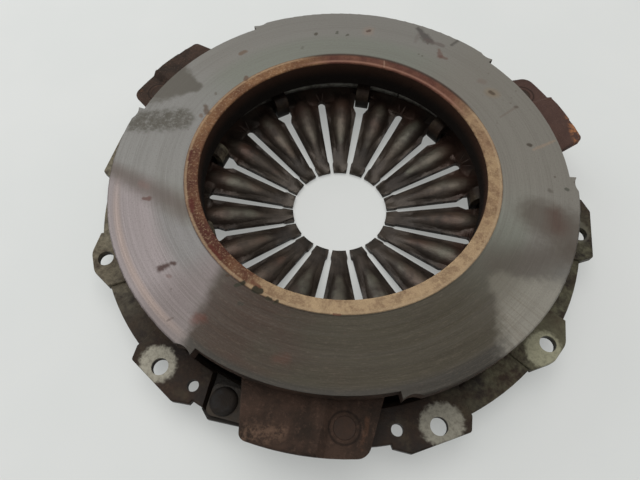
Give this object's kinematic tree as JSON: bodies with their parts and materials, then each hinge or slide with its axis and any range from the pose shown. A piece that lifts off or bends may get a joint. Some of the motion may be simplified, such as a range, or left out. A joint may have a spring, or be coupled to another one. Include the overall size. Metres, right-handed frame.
{
  "type": "clutch pressure plate",
  "caption": "Used diaphragm-spring clutch cover assembly: pressed steel cover, cast pressure plate with three lugs, slotted finger spring and drive straps, bolted to a flywheel.",
  "frame": {"origin": "centre of the bolt circle on the flywheel-side face of the cover flange", "axes": "+Z along the clutch axis towards the flywheel; one of the three lugs of the pressure plate lies on -Y"},
  "size_m": [0.286, 0.287, 0.0482],
  "materials": {
    "cover_steel": "oily blackened pressed steel with rust",
    "plate_casting": "worn machined iron face, rusty cast body",
    "spring_steel": "dark tempered spring steel with worn crests",
    "wire_steel": "bare drawn wire",
    "strap_steel": "dark spring strip",
    "rivet_steel": "dark rivet steel"
  },
  "bodies": {
    "cover": {"cover": "cover_steel", "diaphragm_spring": "spring_steel", "pivot_wire_front": "wire_steel", "pivot_wire_rear": "wire_steel", "drive_strap_1_leaf_1": "strap_steel", "drive_strap_1_leaf_2": "strap_steel", "drive_strap_1_leaf_3": "strap_steel", "drive_strap_2_leaf_1": "strap_steel", "drive_strap_2_leaf_2": "strap_steel", "drive_strap_2_leaf_3": "strap_steel", "drive_strap_3_leaf_1": "strap_steel", "drive_strap_3_leaf_2": "strap_steel", "drive_strap_3_leaf_3": "strap_steel", "cover_rivet_1": "rivet_steel", "cover_rivet_2": "rivet_steel", "cover_rivet_3": "rivet_steel"},
    "pressure_plate": {"pressure_plate": "plate_casting", "lug_rivet_1": "rivet_steel", "lug_rivet_2": "rivet_steel", "lug_rivet_3": "rivet_steel"}
  },
  "joints": [
    {"name": "plate_lift", "type": "slide", "parent": "cover", "child": "pressure_plate", "axis": [0, 0, -1], "range_m": [0, 0.0045], "stiffness_N_per_m": 200000, "deforming": ["diaphragm_spring", "drive_strap_1_leaf_1", "drive_strap_1_leaf_2", "drive_strap_1_leaf_3", "drive_strap_2_leaf_1", "drive_strap_2_leaf_2", "drive_strap_2_leaf_3", "drive_strap_3_leaf_1", "drive_strap_3_leaf_2", "drive_strap_3_leaf_3"]}
  ]
}
